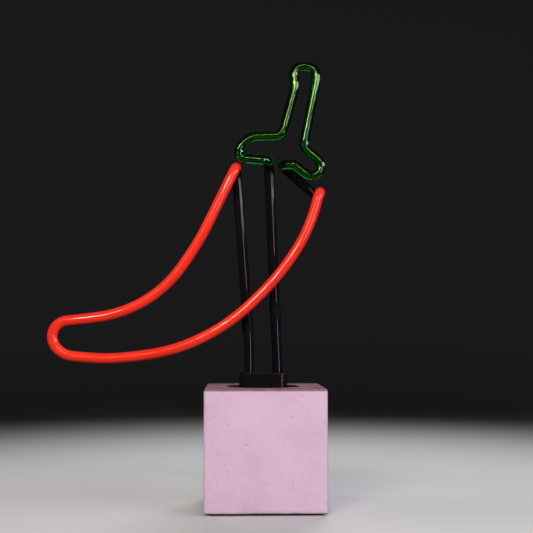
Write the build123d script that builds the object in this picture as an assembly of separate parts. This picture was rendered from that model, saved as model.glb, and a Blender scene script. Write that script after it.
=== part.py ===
from build123d import *
import os

# A bent glass neon chilli standing in a concrete cube. Millimetres, +Z up.
# Origin: centre of the pad's underside. The figure faces -Y.
# The bore and the module in it stand on the axis x = MODULE_X.

os.makedirs("parts", exist_ok=True)

# Concrete cube and what is fixed in it
PAD_W = 107.0
PAD_H = 1.5
BLOCK_W = 115.0
BLOCK_TOP = 116.0
BLOCK_SIDE_R = 2.5
BLOCK_EDGE_R = 2.0
MODULE_X = -1.0
RECESS_R = 35.9
RECESS_Z = 113.8
SLEEVE_R = 32.0
SLEEVE_WALL = 1.8
SLEEVE_FLOOR = 22.0
PASSAGE_Z = 36.0
PASSAGE_R = 8.9
BUSHING_BORE_R = 7.0

# Flange with the raised socket, let in flush with the top, and the cup hung under it
FLANGE_R = 35.5
SOCKET_L = 47.4
SOCKET_W = 16.0
SOCKET_TOP = 129.0
CUP_R = 29.0
CUP_WALL = 2.0
CUP_FLOOR = 24.0
CUP_SCREW_Z = 110.8
BOSS_Z = 103.8
LEG_X = 14.0
GROMMET_R = 6.4

# Glass
LEG_R = 5.2
RED_R = 5.0
LINK_R = 5.0
GREEN_R = 5.1
BORE_R = 3.7
GLASS_FOOT = 70.0
FIGURE_Y = -21.0
BACK_BEND_R = 9.5

# Bend positions of the glass, as corner points with a radius for each corner
LEFT_FOOT = (MODULE_X - LEG_X, 0.0, GLASS_FOOT)
LEFT_LEAN = (MODULE_X - LEG_X, 0.0, 158.0)
LEFT_TOP = (-27.8, 0.0, 329.0)
LEFT_SPLICE = (-27.7, -10.5, 329.0)
RIGHT_FOOT = (MODULE_X + LEG_X, 0.0, GLASS_FOOT)
RIGHT_LEAN = (MODULE_X + LEG_X, 0.0, 132.0)
RIGHT_TOP = (4.4, 0.0, 334.5)
RIGHT_SPLICE = (4.3, -10.5, 334.5)
RED_SPLICE = (54.7, -10.5, 303.8)
LINK_LOW = (55.2, 0.0, 299.2)
LINK_HIGH = (17.0, 0.0, 333.0)
GREEN_SPLICE = (17.0, -12.6, 331.2)


def drum(r, z0, z1, x=0.0, y=0.0):
    """Upright round solid from z0 to z1."""
    return Pos(x, y, (z0 + z1) / 2) * Cylinder(r, z1 - z0)


def rod_y(r, y0, y1, x, z):
    """Round solid lying along Y."""
    return Pos(x, (y0 + y1) / 2, z) * Rot(90, 0, 0) * Cylinder(r, y1 - y0)


def brick(x0, x1, y0, y1, z0, z1):
    """Rectangular solid between the given limits."""
    return Pos((x0 + x1) / 2, (y0 + y1) / 2, (z0 + z1) / 2) * Box(x1 - x0, y1 - y0, z1 - z0)


def rounded_slab(width, r, z0, z1):
    """Square slab with rounded upright edges."""
    return Pos(0, 0, z0) * extrude(RectangleRounded(width, width, r), z1 - z0)


def run(points, radii, outer, inner=0.0):
    """Tube or wire along straight runs joined by tangent arcs."""
    if radii:
        path = FilletPolyline(*points, radius=radii)
    else:
        path = Line(*points)
    face = Circle(outer)
    if inner:
        face = face - Circle(inner)
    return sweep(Plane(origin=path @ 0, z_dir=path % 0) * face, path=path)


def concrete_block():
    solid = rounded_slab(BLOCK_W, BLOCK_SIDE_R, PAD_H, BLOCK_TOP)
    rims = solid.edges().group_by(Axis.Z)
    solid = fillet(rims[0] + rims[-1], BLOCK_EDGE_R)
    solid = solid - drum(SLEEVE_R, SLEEVE_FLOOR, BLOCK_TOP + 1, MODULE_X)
    solid = solid - drum(RECESS_R, RECESS_Z, BLOCK_TOP + 1, MODULE_X)
    return solid - rod_y(PASSAGE_R, 25, BLOCK_W, MODULE_X, PASSAGE_Z)


def base_pad():
    return rounded_slab(PAD_W, 6.0, 0, PAD_H)


def bore_sleeve():
    pipe = drum(SLEEVE_R, SLEEVE_FLOOR, RECESS_Z)
    pipe = pipe - drum(SLEEVE_R - SLEEVE_WALL, SLEEVE_FLOOR, RECESS_Z)
    return pipe - rod_y(BUSHING_BORE_R + 0.5, 20, 40, 0, PASSAGE_Z)


def rear_bushing():
    back = BLOCK_W / 2
    liner = rod_y(PASSAGE_R - 0.1, 33, back, 0, PASSAGE_Z)
    lip = rod_y(11.5, back, back + 2, 0, PASSAGE_Z)
    lip = fillet(lip.edges().group_by(Axis.Y)[-1], 0.8)
    return liner + lip - rod_y(BUSHING_BORE_R, 30, back + 5, 0, PASSAGE_Z)


def cup_screw_axes():
    """Radial directions of the three screws that hold the cup."""
    return [Rot(0, 0, angle) for angle in (30, 150, 270)]


def socket_flange():
    disc = drum(FLANGE_R, RECESS_Z, BLOCK_TOP)
    disc = fillet(disc.edges().group_by(Axis.Z)[-1], 0.6)
    pill = extrude(SlotOverall(SOCKET_L, SOCKET_W), SOCKET_TOP - RECESS_Z)
    pill = Pos(0, 0, RECESS_Z) * pill
    pill = fillet(pill.edges().group_by(Axis.Z)[-1], 1.0)
    spigot = drum(CUP_R - CUP_WALL - 0.1, 107.8, RECESS_Z) - drum(22.9, 107.8, RECESS_Z)
    boss = brick(-7.5, 7.5, -5, 5, BOSS_Z, RECESS_Z)
    body = disc + pill + spigot + boss
    for x in (-LEG_X, LEG_X):
        body = body - drum(LEG_R + 0.6, 98, 140, x)
        body = body - drum(GROMMET_R, BLOCK_TOP, 140, x)
    for x in (-4, 4):
        body = body - drum(1.27, BOSS_Z - 2, 114.3, x)
    for turn in cup_screw_axes():
        body = body - turn * Pos(25, 0, CUP_SCREW_Z) * Rot(0, 90, 0) * Cylinder(1.27, 8)
    return body


def housing_cup():
    shell = drum(CUP_R, CUP_FLOOR, RECESS_Z)
    shell = fillet(shell.edges().group_by(Axis.Z)[0], 1.5)
    cavity = drum(CUP_R - CUP_WALL, CUP_FLOOR + 2, RECESS_Z)
    cavity = cavity - brick(-9, 9, 24.5, 30, 20, 46)
    shell = shell - cavity
    shell = shell - brick(-7, 7, 28.2, 32, 29, 43)
    shell = shell - rod_y(4.05, 20, 30, 0, PASSAGE_Z)
    for turn in cup_screw_axes():
        hole = Pos(28, 0, CUP_SCREW_Z) * Rot(0, 90, 0) * Cylinder(1.3, 6)
        cone = Pos(28.3, 0, CUP_SCREW_Z) * Rot(0, 90, 0) * Cone(1.3, 2.4, 1.4)
        shell = shell - turn * (hole + cone)
    return shell


def cup_screws():
    screws = []
    for turn in cup_screw_axes():
        shank = Pos(25.75, 0, CUP_SCREW_Z) * Rot(0, 90, 0) * Cylinder(1.25, 4.5)
        head = Pos(28.25, 0, CUP_SCREW_Z) * Rot(0, 90, 0) * Cone(1.25, 2.3, 1.3)
        slot = Pos(28.8, 0, CUP_SCREW_Z) * Box(0.8, 3.2, 0.6)
        screws.append(Pos(MODULE_X, 0, 0) * turn * (shank + head - slot))
    return Compound(children=screws)


def grommet(x):
    ring = drum(GROMMET_R - 0.05, BLOCK_TOP, SOCKET_TOP - 0.4, x)
    return ring - drum(LEG_R + 0.05, 110, 135, x)


def leg_clamp():
    bar = extrude(SlotOverall(43, 15), 7)
    bar = Pos(0, 0, BOSS_Z - 7) * bar
    for x in (-LEG_X, LEG_X):
        bar = bar - drum(LEG_R + 0.05, 90, 110, x)
    for x in (-4, 4):
        bar = bar - drum(1.5, 90, 110, x)
    return bar


def clamp_screws():
    screws = []
    for x in (-4, 4):
        shank = drum(1.25, 96.8, 112.8, x)
        head = drum(2.6, 94.6, 96.8, x)
        socket = drum(1.1, 94.6, 95.8, x)
        screws.append(Pos(MODULE_X, 0, 0) * (shank + head - socket))
    return Compound(children=screws)


def glass_foot(x):
    """Closed lower end of a leg, with the hole its lead-in wire is sealed in."""
    return drum(BORE_R, GLASS_FOOT, GLASS_FOOT + 4, x) - drum(0.52, 60, 80, x)


def leg_left():
    points = [LEFT_FOOT, LEFT_LEAN, LEFT_TOP, LEFT_SPLICE]
    return run(points, [250, BACK_BEND_R], LEG_R, BORE_R) + glass_foot(LEFT_FOOT[0])


def leg_right():
    points = [RIGHT_FOOT, RIGHT_LEAN, RIGHT_TOP, RIGHT_SPLICE]
    return run(points, [300, BACK_BEND_R], LEG_R, BORE_R) + glass_foot(RIGHT_FOOT[0])


def red_tube():
    bends = [
        (-27.6, 329.0, BACK_BEND_R),
        (-62.0, 258.2, 150),
        (-108.0, 188.0, 115),
        (-212.0, 176.8, 15),
        (-195.5, 146.6, 22),
        (-150.0, 142.0, 170),
        (-86.5, 149.8, 165),
        (-34.0, 175.5, 180),
        (13.8, 222.0, 240),
        (42.8, 266.2, 150),
        (54.2, 308.4, 7.5),
    ]
    points = [(x, FIGURE_Y, z) for x, z, r in bends]
    return run([LEFT_SPLICE] + points + [RED_SPLICE], [r for x, z, r in bends], RED_R, BORE_R)


def link_tube():
    return run([RED_SPLICE, LINK_LOW, LINK_HIGH, GREEN_SPLICE], [7.5, 9.0], LINK_R, BORE_R)


def green_tube():
    bends = [
        (4.2, 334.5, BACK_BEND_R),
        (-25.2, 336.8, 6.3),
        (-25.2, 348.0, 9.5),
        (-13.5, 358.2, 14),
        (16.5, 359.0, 9),
        (29.8, 408.5, 20),
        (26.4, 428.0, 8.5),
        (52.2, 427.2, 9.5),
        (37.4, 347.5, 9),
        (58.3, 331.0, 9.2),
        (46.9, 315.8, 9.2),
        (27.5, 331.5, 7),
        (17.0, 330.0, 7),
    ]
    points = [(x, FIGURE_Y, z) for x, z, r in bends]
    return run([RIGHT_SPLICE] + points + [GREEN_SPLICE], [r for x, z, r in bends], GREEN_R, BORE_R)


def weld_sleeve(lean, top, z0, z1):
    """Sleeve on the leaning part of a leg, between two heights."""
    ends = []
    for z in (z0, z1):
        t = (z - lean[2]) / (top[2] - lean[2])
        ends.append((lean[0] + t * (top[0] - lean[0]), 0.0, z))
    return run(ends, [], LEG_R + 0.25, LEG_R + 0.03)


def electrode(x):
    shell = drum(2.9, 78, 104, x) - drum(2.5, 79, 105, x)
    return shell + drum(0.5, 66, 78, x)


def boot(x):
    body = drum(6.8, 58, 77, x)
    body = fillet(body.edges().group_by(Axis.Z)[0], 1.5)
    body = body - drum(LEG_R + 0.05, GLASS_FOOT, 78, x)
    return body - drum(1.22, 57, 66, x) - drum(0.55, 65, 71, x)


def hv_lead(side):
    near = (side * 9, -8)
    points = [
        (side * LEG_X, 0, 66),
        (side * LEG_X, 0, 53),
        (near[0], near[1], 53),
        (near[0], near[1], 31.6),
    ]
    return run(points, [3, 3], 1.2)


def supply_case():
    box = brick(-17, 17, -19, 5, 26, 46) - brick(-15.5, 15.5, -17.5, 3.5, 27.5, 46)
    for x in (-13.5, 13.5):
        for y in (-15.5, -5.0):
            box = box + drum(1.6, 27, 30, x, y)
    for x in (-2, 2):
        box = box - rod_y(0.65, 3, 6, x, PASSAGE_Z)
    return box


def supply_lid():
    lid = brick(-17, 17, -19, 5, 46, 48)
    for x in (-9, 9):
        lid = lid - drum(1.25, 45, 49, x, -8)
    return fillet(lid.edges().group_by(Axis.Z)[-1].filter_by(Axis.X), 0.6)


def circuit_board():
    return brick(-15, 15, -17, 3, 30, 31.6)


def transformer_core():
    core = brick(-7, 7, -14, -6, 31.6, 44)
    for x in (-5, 2):
        core = core - brick(x, x + 3, -15, -5, 34.5, 41.5)
    return core


def transformer_coil():
    wrap = brick(-4.9, 4.9, -16.6, -3.4, 34.6, 41.4)
    wrap = fillet(wrap.edges().filter_by(Axis.Z), 1.5)
    return wrap - brick(-2.1, 2.1, -14.1, -5.9, 30, 45)


def board_capacitors():
    cans = []
    for x in (-11.5, 11.5):
        can = drum(3.0, 31.6, 41, x)
        cans.append(Pos(MODULE_X, 0, 0) * fillet(can.edges().group_by(Axis.Z)[-1], 0.4))
    return Compound(children=cans)


def power_transistor():
    return brick(-3, 3, -2.6, -0.4, 31.6, 39) - rod_y(0.9, -4, 1, 0, 37)


def dc_jack():
    body = rod_y(4.0, 14, 28.2, 0, PASSAGE_Z) + rod_y(5.5, 28.2, 29.2, 0, PASSAGE_Z)
    body = body - rod_y(2.8, 17, 30, 0, PASSAGE_Z) + rod_y(1.0, 16, 27.5, 0, PASSAGE_Z)
    for x in (-2, 2):
        body = body + brick(x - 1.1, x + 1.1, 11.5, 14, PASSAGE_Z - 0.3, PASSAGE_Z + 0.3)
    return body


def jack_nut():
    nut = extrude(RegularPolygon(6.2, 6), 2)
    nut = Pos(0, 24.5, PASSAGE_Z) * Rot(90, 0, 0) * nut
    return nut - rod_y(4.03, 20, 26, 0, PASSAGE_Z)


def lv_leads():
    leads = []
    for x in (-2, 2):
        points = [(x, 11.5, PASSAGE_Z), (x, 1.5, PASSAGE_Z), (x, 1.5, 31.6)]
        leads.append(Pos(MODULE_X, 0, 0) * run(points, [1.8], 0.6))
    return Compound(children=leads)


# Built where they stand
IN_PLACE = {
    "concrete_block": concrete_block,
    "base_pad": base_pad,
    "leg_left": leg_left,
    "leg_right": leg_right,
    "red_tube": red_tube,
    "link_tube": link_tube,
    "green_tube": green_tube,
    "weld_sleeve_left": lambda: weld_sleeve(LEFT_LEAN, LEFT_TOP, 168, 185),
    "weld_sleeve_right": lambda: weld_sleeve(RIGHT_LEAN, RIGHT_TOP, 181, 198),
    "cup_screws": cup_screws,
    "clamp_screws": clamp_screws,
    "board_capacitors": board_capacitors,
    "lv_leads": lv_leads,
}

# Built on the axis of the bore and moved to it
ON_BORE_AXIS = {
    "bore_sleeve": bore_sleeve,
    "rear_bushing": rear_bushing,
    "socket_flange": socket_flange,
    "housing_cup": housing_cup,
    "grommet_left": lambda: grommet(-LEG_X),
    "grommet_right": lambda: grommet(LEG_X),
    "leg_clamp": leg_clamp,
    "electrode_left": lambda: electrode(-LEG_X),
    "electrode_right": lambda: electrode(LEG_X),
    "boot_left": lambda: boot(-LEG_X),
    "boot_right": lambda: boot(LEG_X),
    "hv_lead_left": lambda: hv_lead(-1),
    "hv_lead_right": lambda: hv_lead(1),
    "supply_case": supply_case,
    "supply_lid": supply_lid,
    "circuit_board": circuit_board,
    "transformer_core": transformer_core,
    "transformer_coil": transformer_coil,
    "power_transistor": power_transistor,
    "dc_jack": dc_jack,
    "jack_nut": jack_nut,
}

for name, make in IN_PLACE.items():
    export_step(make(), f"parts/{name}.step")
for name, make in ON_BORE_AXIS.items():
    export_step(Pos(MODULE_X, 0, 0) * make(), f"parts/{name}.step")
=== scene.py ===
import bpy
import math
import random
from mathutils import Euler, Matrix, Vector, noise


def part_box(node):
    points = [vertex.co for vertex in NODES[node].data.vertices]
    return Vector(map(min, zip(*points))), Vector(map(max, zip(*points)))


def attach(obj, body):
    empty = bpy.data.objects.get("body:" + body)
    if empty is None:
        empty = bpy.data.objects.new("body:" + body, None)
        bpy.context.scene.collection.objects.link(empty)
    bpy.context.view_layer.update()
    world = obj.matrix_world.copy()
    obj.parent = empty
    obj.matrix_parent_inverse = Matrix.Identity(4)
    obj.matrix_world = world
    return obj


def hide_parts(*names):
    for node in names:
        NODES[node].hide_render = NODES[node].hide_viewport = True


# Neon chilli of bent glass, standing in a concrete cube. Metres, row frame, +Z up.
# The glass tubes' corner points and radii are in millimetres, as in the CAD part.

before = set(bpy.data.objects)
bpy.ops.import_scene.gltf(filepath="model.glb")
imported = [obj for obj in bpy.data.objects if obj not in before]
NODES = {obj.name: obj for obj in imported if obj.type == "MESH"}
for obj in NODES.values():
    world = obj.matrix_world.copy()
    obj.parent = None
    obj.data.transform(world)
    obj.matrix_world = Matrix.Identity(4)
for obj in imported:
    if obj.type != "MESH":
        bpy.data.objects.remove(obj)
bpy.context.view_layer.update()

MM = 0.001
# Height from which the block's top is coloured darker
DARK_TOP_Z = 0.1130
VOXEL = 0.00105
PIT_COUNT = 46
PIT_REACH = 0.052

FIGURE_Y = -21.0
BACK_BEND_R = 9.5
MODULE_X = -1.0
LEG_X = 14.0
GLASS_FOOT = 70.0
FOOT_DOME = 5.0
BORE_R = 3.7
LEG_R = 5.2
RED_R = 5.0
LINK_R = 5.0
GREEN_R = 5.1
TIGHT_BEND_R = 45
LONG_ROUNDS = 140

LEFT_FOOT = (MODULE_X - LEG_X, 0.0, GLASS_FOOT)
LEFT_LEAN = (MODULE_X - LEG_X, 0.0, 158.0)
LEFT_TOP = (-27.8, 0.0, 329.0)
LEFT_SPLICE = (-27.7, -10.5, 329.0)
RIGHT_FOOT = (MODULE_X + LEG_X, 0.0, GLASS_FOOT)
RIGHT_LEAN = (MODULE_X + LEG_X, 0.0, 132.0)
RIGHT_TOP = (4.4, 0.0, 334.5)
RIGHT_SPLICE = (4.3, -10.5, 334.5)
RED_SPLICE = (54.7, -10.5, 303.8)
LINK_LOW = (55.2, 0.0, 299.2)
LINK_HIGH = (17.0, 0.0, 333.0)
GREEN_SPLICE = (17.0, -12.6, 331.2)

WHITE = (1.0, 1.0, 1.0)


# ---------------------------------------------------------------- materials

def new_material(name):
    material = bpy.data.materials.new(name)
    material.use_nodes = True
    tree = material.node_tree
    return material, tree, tree.nodes["Principled BSDF"]


def coordinates(tree):
    return tree.nodes.new("ShaderNodeTexCoord").outputs["Object"]


def noise_texture(tree, scale, detail=4.0, roughness=0.55, stretch=None):
    node = tree.nodes.new("ShaderNodeTexNoise")
    node.inputs["Scale"].default_value = scale
    node.inputs["Detail"].default_value = detail
    node.inputs["Roughness"].default_value = roughness
    source = coordinates(tree)
    if stretch:
        mapping = tree.nodes.new("ShaderNodeMapping")
        mapping.inputs["Scale"].default_value = stretch
        tree.links.new(source, mapping.inputs["Vector"])
        source = mapping.outputs["Vector"]
    tree.links.new(source, node.inputs["Vector"])
    return node.outputs["Fac"]


def ramp(tree, fac, stops):
    node = tree.nodes.new("ShaderNodeValToRGB")
    elements = node.color_ramp.elements
    while len(elements) < len(stops):
        elements.new(0.5)
    for element, (place, colour) in zip(elements, stops):
        element.position = place
        element.color = (*colour, 1.0)
    tree.links.new(fac, node.inputs["Fac"])
    return node.outputs["Color"]


def between(tree, fac, low, high):
    """Noise, which lies mostly between 0.3 and 0.7, stretched to the range from low to high."""
    node = tree.nodes.new("ShaderNodeMapRange")
    node.inputs["From Min"].default_value = 0.3
    node.inputs["From Max"].default_value = 0.7
    node.inputs["To Min"].default_value = low
    node.inputs["To Max"].default_value = high
    tree.links.new(fac, node.inputs["Value"])
    return node.outputs["Result"]


def multiply(tree, first, second, amount=1.0):
    node = tree.nodes.new("ShaderNodeMix")
    node.data_type = "RGBA"
    node.blend_type = "MULTIPLY"
    node.inputs["Factor"].default_value = amount
    tree.links.new(first, node.inputs["A"])
    tree.links.new(second, node.inputs["B"])
    return node.outputs["Result"]


def add_bump(tree, bsdf, height, strength, distance):
    node = tree.nodes.new("ShaderNodeBump")
    node.inputs["Strength"].default_value = strength
    node.inputs["Distance"].default_value = distance
    tree.links.new(height, node.inputs["Height"])
    tree.links.new(node.outputs["Normal"], bsdf.inputs["Normal"])


def finish_of(name, dark, light, scale, rough, bump=(900, 0.15, 0.0002), metallic=0.0,
              stretch=None):
    """Mottled base colour, uneven roughness and fine bump of (scale, strength, distance)."""
    material, tree, bsdf = new_material(name)
    mottle = noise_texture(tree, scale, 6.0, 0.6, stretch)
    tree.links.new(ramp(tree, mottle, [(0.3, dark), (0.7, light)]), bsdf.inputs["Base Color"])
    smear = noise_texture(tree, scale * 2.3, 3.0, 0.5, stretch)
    tree.links.new(between(tree, smear, rough[0], rough[1]), bsdf.inputs["Roughness"])
    add_bump(tree, bsdf, noise_texture(tree, bump[0], 5.0, 0.6, stretch), bump[1], bump[2])
    bsdf.inputs["Metallic"].default_value = metallic
    return material


def blend(tree, fac, first, second):
    node = tree.nodes.new("ShaderNodeMix")
    node.data_type = "RGBA"
    tree.links.new(fac, node.inputs["Factor"])
    tree.links.new(first, node.inputs["A"])
    tree.links.new(second, node.inputs["B"])
    return node.outputs["Result"]


def above(tree, low, high, axis="Z"):
    """0 before the low place on the axis, 1 past the high one."""
    split = tree.nodes.new("ShaderNodeSeparateXYZ")
    tree.links.new(coordinates(tree), split.inputs["Vector"])
    fade = tree.nodes.new("ShaderNodeMapRange")
    fade.interpolation_type = "SMOOTHSTEP"
    fade.inputs["From Min"].default_value = low
    fade.inputs["From Max"].default_value = high
    tree.links.new(split.outputs[axis], fade.inputs["Value"])
    return fade.outputs["Result"]


def specular_level(material, level):
    material.node_tree.nodes["Principled BSDF"].inputs["Specular IOR Level"].default_value = level


def concrete():
    material, tree, bsdf = new_material("cast_concrete")
    cloud = noise_texture(tree, 22, 5.0, 0.6)
    base = ramp(tree, cloud, [(0.28, (0.60, 0.43, 0.55)), (0.5, (0.67, 0.485, 0.62)),
                              (0.72, (0.71, 0.53, 0.645))])
    grain = noise_texture(tree, 260, 6.0, 0.7)
    speckle = ramp(tree, grain, [(0.3, (0.9, 0.88, 0.89)), (0.65, WHITE)])
    base = multiply(tree, base, speckle, 0.8)
    # Small dark dots: painted shade standing in for pinholes too small for the mesh.
    pinhole_dots = tree.nodes.new("ShaderNodeTexVoronoi")
    pinhole_dots.inputs["Scale"].default_value = 75
    tree.links.new(coordinates(tree), pinhole_dots.inputs["Vector"])
    pinhole_shade = ramp(tree, pinhole_dots.outputs["Distance"], [(0.03, (0.62, 0.5, 0.55)), (0.075, WHITE)])
    base = multiply(tree, base, pinhole_shade, 0.85)
    # The top face and the rounding of its edges are coloured darker than the sides.
    blotch = noise_texture(tree, 70, 5.0, 0.65)
    top_darkening = ramp(tree, blotch, [(0.35, (0.23, 0.15, 0.18)), (0.65, (0.47, 0.34, 0.35))])
    top = above(tree, DARK_TOP_Z, DARK_TOP_Z + 0.0012)
    tree.links.new(blend(tree, top, base, multiply(tree, base, top_darkening)),
                   bsdf.inputs["Base Color"])
    tree.links.new(between(tree, grain, 0.78, 0.95), bsdf.inputs["Roughness"])
    add_bump(tree, bsdf, noise_texture(tree, 700, 7.0, 0.65), 0.22, 0.00025)
    return material


def red_glass():
    material, tree, bsdf = new_material("red_lit_glass")
    cloud = noise_texture(tree, 35, 3.0, 0.5)
    tree.links.new(ramp(tree, cloud, [(0.3, (0.76, 0.026, 0.014)), (0.7, (0.86, 0.036, 0.018))]),
                   bsdf.inputs["Base Color"])
    smear = noise_texture(tree, 90, 3.0, 0.5)
    tree.links.new(between(tree, smear, 0.02, 0.05), bsdf.inputs["Roughness"])
    add_bump(tree, bsdf, noise_texture(tree, 60, 1.0, 0.4), 0.01, 0.0003)
    bsdf.inputs["Specular IOR Level"].default_value = 0.5
    bsdf.inputs["Emission Color"].default_value = (1.0, 0.05, 0.02, 1.0)
    bsdf.inputs["Emission Strength"].default_value = 0.03
    return material


def green_glass():
    material, tree, bsdf = new_material("green_clear_glass")
    cloud = noise_texture(tree, 40, 3.0, 0.5)
    tint = ramp(tree, cloud, [(0.3, (0.022, 0.56, 0.07)), (0.7, (0.04, 0.66, 0.11))])
    black = ramp(tree, cloud, [(0.3, (0.002, 0.002, 0.002)), (0.7, (0.004, 0.005, 0.004))])
    paint = above(tree, (FIGURE_Y + 3) * MM, (FIGURE_Y + 7) * MM, axis="Y")
    tree.links.new(blend(tree, paint, tint, black), bsdf.inputs["Base Color"])
    clear = tree.nodes.new("ShaderNodeMapRange")
    clear.inputs["To Min"].default_value = 1.0
    clear.inputs["To Max"].default_value = 0.0
    tree.links.new(paint, clear.inputs["Value"])
    tree.links.new(clear.outputs["Result"], bsdf.inputs["Transmission Weight"])
    add_bump(tree, bsdf, noise_texture(tree, 60, 1.0, 0.4), 0.01, 0.0003)
    bsdf.inputs["Roughness"].default_value = 0.02
    bsdf.inputs["IOR"].default_value = 1.5
    return material


# ---------------------------------------------------------------- mesh helpers

def corner_path(corners, step):
    """Even points along straight runs joined by tangent arcs. Corners are (x, y, z, radius)."""
    points = [Vector(corners[0][:3])]
    for before, here, after in zip(corners, corners[1:], corners[2:]):
        p = Vector(here[:3])
        a = (Vector(before[:3]) - p).normalized()
        b = (Vector(after[:3]) - p).normalized()
        half = a.angle(b) / 2
        radius = here[3]
        reach = radius / math.tan(half)
        centre = p + (a + b).normalized() * radius / math.sin(half)
        u = p + a * reach - centre
        v = p + b * reach - centre
        turn = u.angle(v)
        count = max(3, int(turn * radius / step))
        for k in range(count + 1):
            t = k / count
            arc = (u * math.sin((1 - t) * turn) + v * math.sin(t * turn)) / math.sin(turn)
            points.append(centre + arc)
    points.append(Vector(corners[-1][:3]))
    return points


def even(points, step):
    """The same line with points at equal distances."""
    total = sum((b - a).length for a, b in zip(points, points[1:]))
    count = max(2, round(total / step))
    spacing = total / count
    result = [points[0].copy()]
    walked = 0.0
    for a, b in zip(points, points[1:]):
        length = (b - a).length
        while (length > 0 and len(result) < count
               and walked + length >= spacing * len(result) - 1e-9):
            result.append(a.lerp(b, (spacing * len(result) - walked) / length))
        walked += length
    result.append(points[-1].copy())
    return result


def soften(points, rounds, long_rounds):
    """Eases each change of curvature, as hand-bent glass has it. The ends stay.

    The long rounds ease only the sweeping curves, away from tight bends.
    """
    bends = [0.0] + [(b - a).angle(c - b) / (b - a).length
                     for a, b, c in zip(points, points[1:], points[2:])] + [0.0]
    sweeping = [max(bends[max(0, i - 9):i + 10]) < 1 / TIGHT_BEND_R for i in range(len(points))]
    sweeping[:12] = [False] * 12
    sweeping[-12:] = [False] * 12
    for done in range(rounds + long_rounds):
        middle = [(a + b * 2 + c) / 4 for a, b, c in zip(points, points[1:], points[2:])]
        if done >= rounds:
            middle = [m if free else p for m, p, free in zip(middle, points[1:], sweeping[1:])]
        points = [points[0], points[1]] + middle[1:-1] + [points[-2], points[-1]]
    return points


def mesh_object(name, vertices, faces):
    mesh = bpy.data.meshes.new(name)
    mesh.from_pydata([tuple(v) for v in vertices], [], faces)
    mesh.validate()
    for polygon in mesh.polygons:
        polygon.use_smooth = True
    piece = bpy.data.objects.new(name, mesh)
    bpy.context.scene.collection.objects.link(piece)
    return piece


def glass_tube(name, corners, outer, inner, step=1.0, closed_foot=False, sides=40, eased=6):
    """Hollow tube of hand-bent glass, slightly uneven. Millimetres in, metres out."""
    line = soften(even(corner_path(corners, step), step), eased, LONG_ROUNDS)
    count = len(line)
    tangents = [(line[min(i + 1, count - 1)] - line[max(i - 1, 0)]).normalized()
                for i in range(count)]
    side = tangents[0].orthogonal().normalized()
    turns = [2 * math.pi * k / sides for k in range(sides)]
    rings_out = []
    rings_in = []
    for i, (p, t) in enumerate(zip(line, tangents)):
        side = (side - t * side.dot(t)).normalized()
        up = t.cross(side)
        wobble = 1.0 - 0.012 * (noise.noise(p * 0.045) + 1.0)
        r_out = outer * wobble
        foot = i * step
        if closed_foot and foot < FOOT_DOME:
            rise = foot / FOOT_DOME
            r_out *= math.sqrt(max(0.02, 1 - (1 - rise) ** 2)) * 0.9 + 0.1 * rise
        ring = [math.cos(a) * side + math.sin(a) * up for a in turns]
        rings_out.append([p + d * r_out for d in ring])
        rings_in.append([p + d * inner for d in ring])
    first_in = 6 if closed_foot else 0
    vertices = [v * MM for ring in rings_out for v in ring]
    start_in = len(vertices)
    vertices += [v * MM for ring in rings_in[first_in:] for v in ring]
    faces = []

    def band(a, b, flip):
        for k in range(sides):
            n = (k + 1) % sides
            quad = (a + k, a + n, b + n, b + k)
            faces.append(quad[::-1] if flip else quad)

    for i in range(count - 1):
        band(i * sides, (i + 1) * sides, False)
    inner_count = count - first_in
    for i in range(inner_count - 1):
        band(start_in + i * sides, start_in + (i + 1) * sides, True)
    band((count - 1) * sides, start_in + (inner_count - 1) * sides, False)
    if closed_foot:
        faces.append(tuple(range(sides))[::-1])
        faces.append(tuple(range(start_in, start_in + sides)))
    else:
        band(0, start_in, True)
    return mesh_object(name, vertices, faces)


def place(piece, body, material, slot, *replaced):
    piece.data.materials.append(material)
    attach(piece, body)
    if replaced:
        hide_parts(*replaced)
    return piece


# ---------------------------------------------------------------- concrete cube

def smoothstep(low, high, value):
    t = min(1.0, max(0.0, (value - low) / (high - low)))
    return t * t * (3 - 2 * t)


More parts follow.
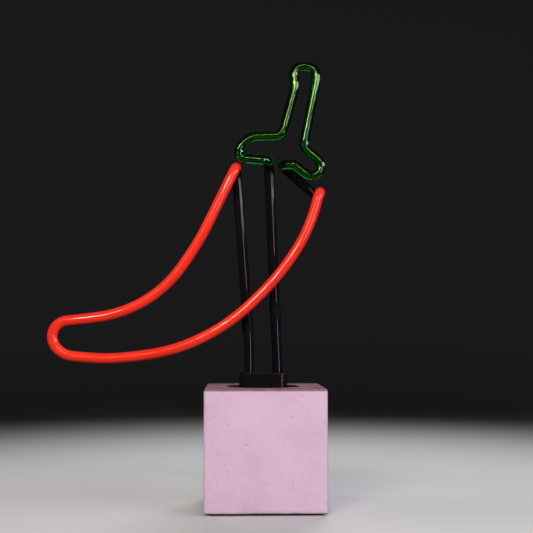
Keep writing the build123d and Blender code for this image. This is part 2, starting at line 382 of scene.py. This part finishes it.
def concrete_cube():
    """The CAD block remeshed finely, with cast unevenness, worn edges and shallow pits."""
    node = NODES["concrete_block"]
    piece = bpy.data.objects.new("cast_cube", node.data.copy())
    piece.data.materials.clear()
    bpy.context.scene.collection.objects.link(piece)
    remesh = piece.modifiers.new("remesh", "REMESH")
    remesh.mode = "VOXEL"
    remesh.voxel_size = VOXEL
    ease = piece.modifiers.new("ease", "SMOOTH")
    ease.factor = 0.5
    ease.iterations = 2
    graph = bpy.context.evaluated_depsgraph_get()
    mesh = bpy.data.meshes.new_from_object(piece.evaluated_get(graph))
    piece.modifiers.clear()
    piece.data = mesh
    low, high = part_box("concrete_block")
    chance = random.Random(7)
    pits = []
    for _ in range(PIT_COUNT):
        face = chance.choice("xXyYyt")
        u = chance.uniform(-PIT_REACH, PIT_REACH)
        v = chance.uniform(low.z + 0.006, high.z - 0.006)
        size = chance.uniform(0.0006, 0.0016) * (1.35 if chance.random() < 0.15 else 1.0)
        spot = {"x": (low.x, u, v), "X": (high.x, u, v), "y": (u, low.y, v),
                "Y": (u, high.y, v), "t": (u, chance.uniform(-0.05, 0.05), high.z)}[face]
        pits.append((Vector(spot), size))
    normals = [v.normal.copy() for v in mesh.vertices]
    for vertex, normal in zip(mesh.vertices, normals):
        p = vertex.co
        near = sorted((abs(abs(p.x) - high.x), abs(abs(p.y) - high.y),
                       min(p.z - low.z, high.z - p.z)))
        edge = 1 - smoothstep(0.0, 0.004, near[1])
        depth = 0.00010 * (1 + noise.noise(p * 55)) + 0.00005 * (1 + noise.noise(p * 210))
        depth += edge * 0.00035 * max(0.0, noise.noise(p * 130) + 0.25)
        for spot, size in pits:
            gap = (p - spot).length
            if gap < size * 1.6:
                depth += size * 0.42 * (1 - smoothstep(0.2, 1.0, gap / (size * 1.3)))
        vertex.co = p - normal * depth
    for polygon in mesh.polygons:
        polygon.use_smooth = True
    return piece


place(concrete_cube(), "base", concrete(), "concrete", "concrete_block")

# ---------------------------------------------------------------- glass

BLACK_COAT = finish_of("black_blockout_coat", (0.0025, 0.0022, 0.003), (0.005, 0.0045, 0.006), 60,
                       (0.07, 0.11), (200, 0.01, 0.0001), stretch=(1, 1, 0.2))
specular_level(BLACK_COAT, 0.26)

leg_left = glass_tube("leg_glass_left", [
    LEFT_FOOT, (*LEFT_LEAN, 250), (*LEFT_TOP, BACK_BEND_R), LEFT_SPLICE],
    LEG_R, BORE_R, closed_foot=True)
place(leg_left, "module", BLACK_COAT, "black_coat", "leg_left")

leg_right = glass_tube("leg_glass_right", [
    RIGHT_FOOT, (*RIGHT_LEAN, 300), (*RIGHT_TOP, BACK_BEND_R), RIGHT_SPLICE],
    LEG_R, BORE_R, closed_foot=True)
place(leg_right, "module", BLACK_COAT, "black_coat", "leg_right")

link = glass_tube("link_glass", [RED_SPLICE, (*LINK_LOW, 7.5), (*LINK_HIGH, 9.0), GREEN_SPLICE],
                  LINK_R, BORE_R)
place(link, "module", BLACK_COAT, "black_coat", "link_tube")

red_corners = [
    (-27.6, 329.0, BACK_BEND_R), (-62.0, 258.2, 150), (-108.0, 188.0, 115),
    (-212.0, 176.8, 15), (-195.5, 146.6, 22), (-150.0, 142.0, 170), (-86.5, 149.8, 165),
    (-34.0, 175.5, 180), (13.8, 222.0, 240), (42.8, 266.2, 150), (54.2, 308.4, 7.5)]
red = glass_tube("red_glass", [LEFT_SPLICE] + [(x, FIGURE_Y, z, r) for x, z, r in red_corners]
                 + [RED_SPLICE], RED_R, BORE_R)
place(red, "module", red_glass(), "red_glass", "red_tube")

green_corners = [
    (4.2, 334.5, BACK_BEND_R), (-25.2, 336.8, 6.3), (-25.2, 348.0, 9.5), (-13.5, 358.2, 14),
    (16.5, 359.0, 9), (29.8, 408.5, 20), (26.4, 428.0, 8.5), (52.2, 427.2, 9.5),
    (37.4, 347.5, 9), (58.3, 331.0, 9.2), (46.9, 315.8, 9.2), (27.5, 331.5, 7), (17.0, 330.0, 7)]
green = glass_tube("green_glass", [RIGHT_SPLICE]
                   + [(x, FIGURE_Y, z, r) for x, z, r in green_corners]
                   + [GREEN_SPLICE], GREEN_R, BORE_R, step=0.8, eased=14)
place(green, "module", green_glass(), "green_glass", "green_tube")

# ---------------------------------------------------------------- finishes of the CAD pieces

PLASTIC = finish_of("black_moulded_plastic", (0.0025, 0.0025, 0.003), (0.005, 0.0045, 0.0055), 45,
                    (0.18, 0.26), (700, 0.05, 0.0001))
specular_level(PLASTIC, 0.3)
CUP = finish_of("cup_plastic", (0.014, 0.014, 0.015), (0.024, 0.024, 0.026), 50, (0.42, 0.6),
                (1400, 0.2, 0.0002))
STEEL = finish_of("plated_steel", (0.48, 0.48, 0.47), (0.66, 0.66, 0.65), 200, (0.22, 0.38),
                  (1500, 0.1, 0.0001), metallic=1.0)
RUBBER = finish_of("black_rubber", (0.012, 0.012, 0.012), (0.024, 0.023, 0.023), 120, (0.7, 0.88),
                   (1100, 0.3, 0.0002))
LOOKS = {
    "base_pad": RUBBER,
    "bore_sleeve": finish_of("grey_pipe", (0.26, 0.27, 0.28), (0.36, 0.37, 0.38), 40, (0.4, 0.55),
                             (60, 0.1, 0.0003), stretch=(1, 1, 0.1)),
    "rear_bushing": CUP,
    "socket_flange": PLASTIC,
    "housing_cup": CUP,
    "cup_screws": STEEL,
    "clamp_screws": STEEL,
    "grommet_left": RUBBER,
    "grommet_right": RUBBER,
    "leg_clamp": finish_of("natural_nylon", (0.5, 0.48, 0.42), (0.6, 0.58, 0.52), 70, (0.4, 0.55)),
    "weld_sleeve_left": finish_of("shrink_sleeve_left", (0.0025, 0.0025, 0.0025),
                                  (0.005, 0.0045, 0.005), 150, (0.5, 0.7), (420, 0.3, 0.0002)),
    "weld_sleeve_right": finish_of("shrink_sleeve_right", (0.0025, 0.0025, 0.0025),
                                   (0.005, 0.0045, 0.005), 150, (0.5, 0.7), (420, 0.3, 0.0002)),
    "electrode_left": STEEL,
    "electrode_right": STEEL,
    "boot_left": finish_of("silicone_left", (0.6, 0.57, 0.52), (0.7, 0.67, 0.62), 90,
                           (0.5, 0.65)),
    "boot_right": finish_of("silicone_right", (0.6, 0.57, 0.52), (0.7, 0.67, 0.62), 90,
                            (0.5, 0.65)),
    "hv_lead_left": finish_of("silicone_wire_left", (0.66, 0.64, 0.6), (0.76, 0.74, 0.7), 150,
                              (0.45, 0.6)),
    "hv_lead_right": finish_of("silicone_wire_right", (0.66, 0.64, 0.6), (0.76, 0.74, 0.7), 150,
                               (0.45, 0.6)),
    "supply_case": CUP,
    "supply_lid": CUP,
    "circuit_board": finish_of("solder_mask", (0.008, 0.10, 0.035), (0.015, 0.15, 0.055), 300,
                               (0.3, 0.45)),
    "transformer_core": finish_of("ferrite", (0.03, 0.03, 0.032), (0.06, 0.058, 0.06), 600,
                                  (0.6, 0.8)),
    "transformer_coil": finish_of("coil_tape", (0.5, 0.34, 0.03), (0.66, 0.46, 0.06), 120,
                                  (0.3, 0.45), (500, 0.2, 0.0002), stretch=(0.1, 0.1, 1)),
    "board_capacitors": finish_of("capacitor_sleeve", (0.02, 0.025, 0.07), (0.035, 0.04, 0.11), 200,
                                  (0.25, 0.4)),
    "power_transistor": finish_of("epoxy_package", (0.015, 0.015, 0.015), (0.03, 0.03, 0.03), 500,
                                  (0.5, 0.65)),
    "dc_jack": PLASTIC,
    "jack_nut": STEEL,
    "lv_leads": finish_of("pvc_wire", (0.35, 0.008, 0.006), (0.5, 0.015, 0.01), 200, (0.35, 0.5)),
}
specular_level(LOOKS["weld_sleeve_left"], 0.08)
specular_level(LOOKS["weld_sleeve_right"], 0.08)
for node_name, look in LOOKS.items():
    node = NODES[node_name]
    node.data.materials.clear()
    node.data.materials.append(look)

# ---------------------------------------------------------------- studio

def studio_bowl():
    """Round pale floor that darkens away from the object, a painted pool of light, and curves up
    into a dark backdrop.
    """
    sides = 96
    flat = 1.2
    cove = 0.9
    profile = [(0.6, 0.0), (flat, 0.0)]
    for k in range(1, 13):
        a = math.radians(90 * k / 12)
        profile.append((flat + cove * math.sin(a), cove * (1 - math.cos(a))))
    profile.append((flat + cove, 3.5))
    turns = [2 * math.pi * k / sides for k in range(sides)]
    vertices = [(r * math.cos(a), r * math.sin(a), z) for r, z in profile for a in turns]
    faces = [tuple(range(sides))]
    for ring in range(len(profile) - 1):
        for k in range(sides):
            n = (k + 1) % sides
            faces.append((ring * sides + k, (ring + 1) * sides + k, (ring + 1) * sides + n,
                          ring * sides + n))
    floor = mesh_object("studio_floor", vertices, faces)
    material, tree, bsdf = new_material("studio_paper")
    away = tree.nodes.new("ShaderNodeVectorMath")
    away.operation = "LENGTH"
    tree.links.new(coordinates(tree), away.inputs[0])
    # Painted pool of light: the floor's colour is pale near the object and dark further out.
    fade = tree.nodes.new("ShaderNodeMapRange")
    fade.interpolation_type = "SMOOTHSTEP"
    fade.inputs["From Min"].default_value = 0.35
    fade.inputs["From Max"].default_value = 1.20
    tree.links.new(away.outputs["Value"], fade.inputs["Value"])
    tree.links.new(ramp(tree, fade.outputs["Result"], [(0.0, (0.56, 0.56, 0.57)),
                                                       (1.0, (0.040, 0.040, 0.042))]),
                   bsdf.inputs["Base Color"])
    bsdf.inputs["Roughness"].default_value = 0.95
    bsdf.inputs["Specular IOR Level"].default_value = 0.1
    floor.data.materials.append(material)
    floor.visible_glossy = False  # no pale floor in the glass's reflections
    floor.visible_diffuse = False  # and no light bounced up from it


def softbox(name, place_at, aim, width, height, power, colour=WHITE, mirrored=True, beam=180):
    """Area light. One that isn't mirrored isn't seen in gloss or through glass."""
    lamp = bpy.data.lights.new(name, "AREA")
    lamp.shape = "RECTANGLE"
    lamp.size = width
    lamp.size_y = height
    lamp.energy = power
    lamp.color = colour
    lamp.spread = math.radians(beam)
    holder = bpy.data.objects.new(name, lamp)
    holder.location = place_at
    holder.rotation_euler = (Vector(aim) - Vector(place_at)).to_track_quat("-Z", "Y").to_euler()
    holder.visible_camera = False
    holder.visible_glossy = mirrored
    holder.visible_transmission = mirrored
    bpy.context.scene.collection.objects.link(holder)


studio_bowl()
softbox("key", (-0.40, -1.6, 0.75), (0, 0, 0.2), 1.2, 0.7, 19.4, (0.98, 0.97, 1.0), mirrored=False)
softbox("strip_right", (0.74, -0.95, 0.42), (0, 0, 0.28), 0.12, 0.80, 4.8, (0.80, 0.62, 1.0))
softbox("strip_above", (-0.15, -1.0, 0.66), (-0.08, 0, 0.2), 1.0, 0.08, 3.2, (1.0, 0.74, 0.30))
softbox("side_right", (1.05, -0.45, 0.62), (0, 0, 0.38), 0.8, 0.27, 5.4, (0.80, 0.97, 0.97))
softbox("spark", (-0.38, -1.0, 0.66), (-0.08, 0, 0.2), 0.06, 0.06, 0.9)
softbox("fill_back", (0.3, 1.4, 0.75), (0, 0, 0.15), 1.0, 0.7, 5, mirrored=False, beam=80)
softbox("fill_left", (-1.4, 0.2, 0.6), (0, 0, 0.15), 0.7, 0.7, 1.2, mirrored=False, beam=80)

world = bpy.data.worlds.new("studio_world")
world.use_nodes = True
world.node_tree.nodes["Background"].inputs["Color"].default_value = (0.8, 0.8, 0.85, 1.0)
world.node_tree.nodes["Background"].inputs["Strength"].default_value = 0.025
bpy.context.scene.world = world

camera = bpy.data.cameras.new("camera")
camera.sensor_width = 36
camera.lens = 70
camera_holder = bpy.data.objects.new("camera", camera)
camera_holder.location = (-0.0268, -1.0175, 0.1645)
camera_holder.rotation_euler = Euler((math.radians(93.84), 0, math.radians(-1.63)))
bpy.context.scene.collection.objects.link(camera_holder)
bpy.context.scene.camera = camera_holder
bpy.context.scene.view_settings.view_transform = "Standard"
